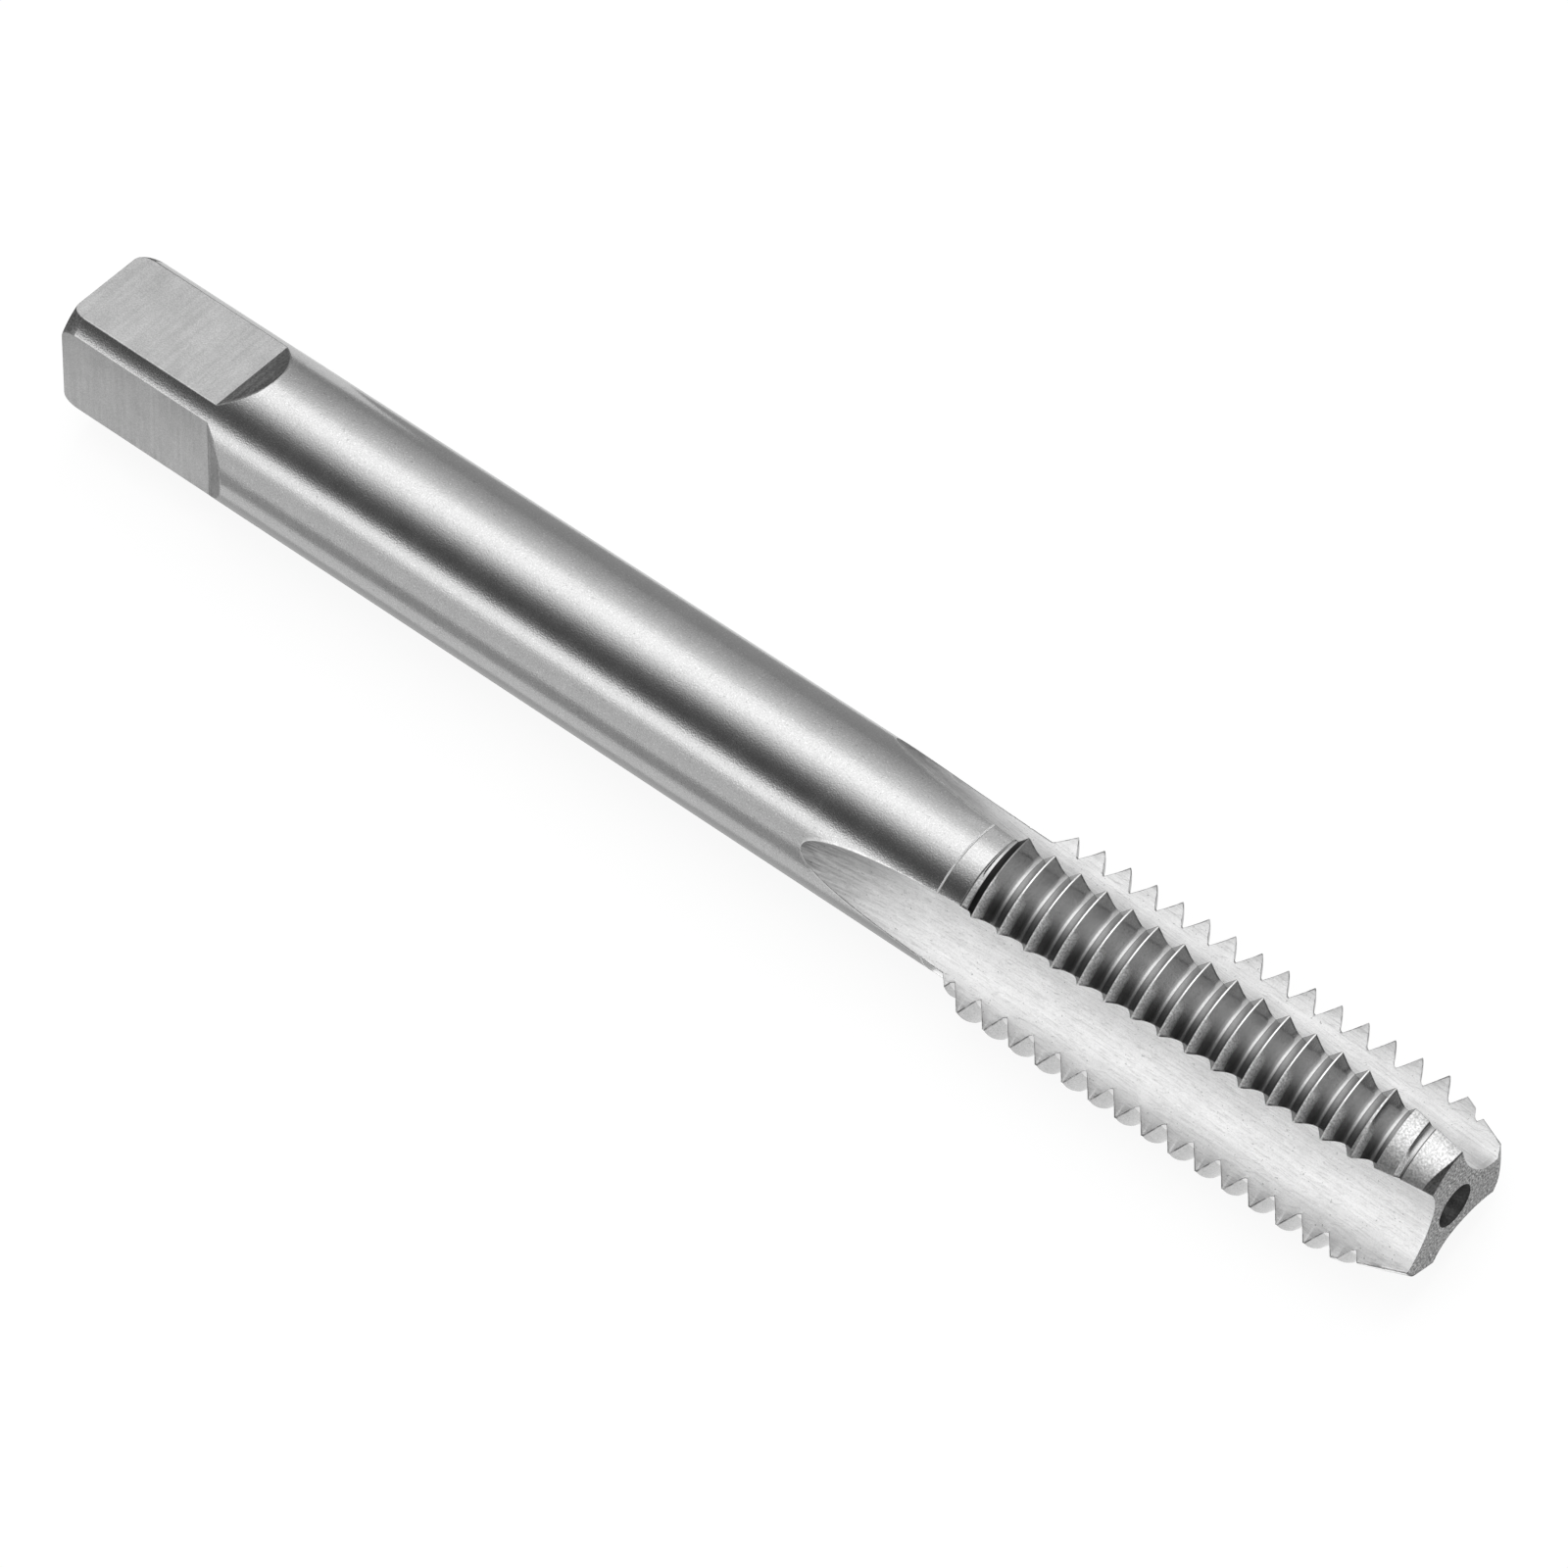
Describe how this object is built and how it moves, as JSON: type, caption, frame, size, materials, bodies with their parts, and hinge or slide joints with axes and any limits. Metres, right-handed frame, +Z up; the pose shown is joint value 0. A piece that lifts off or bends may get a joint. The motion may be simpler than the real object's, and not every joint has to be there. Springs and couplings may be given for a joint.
{
  "type": "thread tap",
  "caption": "Straight-flute hand tap with a drive square and plain shank, for cutting a right-hand 10 mm metric thread with 1.5 mm pitch in a drilled hole",
  "frame": {"origin": "the point on the ground under the middle of the tap, as it lies", "axes": "+X along the tap from the square end to the cutting end, +Z up, +Y across"},
  "size_m": [0.08, 0.01, 0.0092],
  "materials": {
    "ground_steel": "ground bright steel"
  },
  "bodies": {
    "root": {"tap": "ground_steel"}
  },
  "joints": []
}
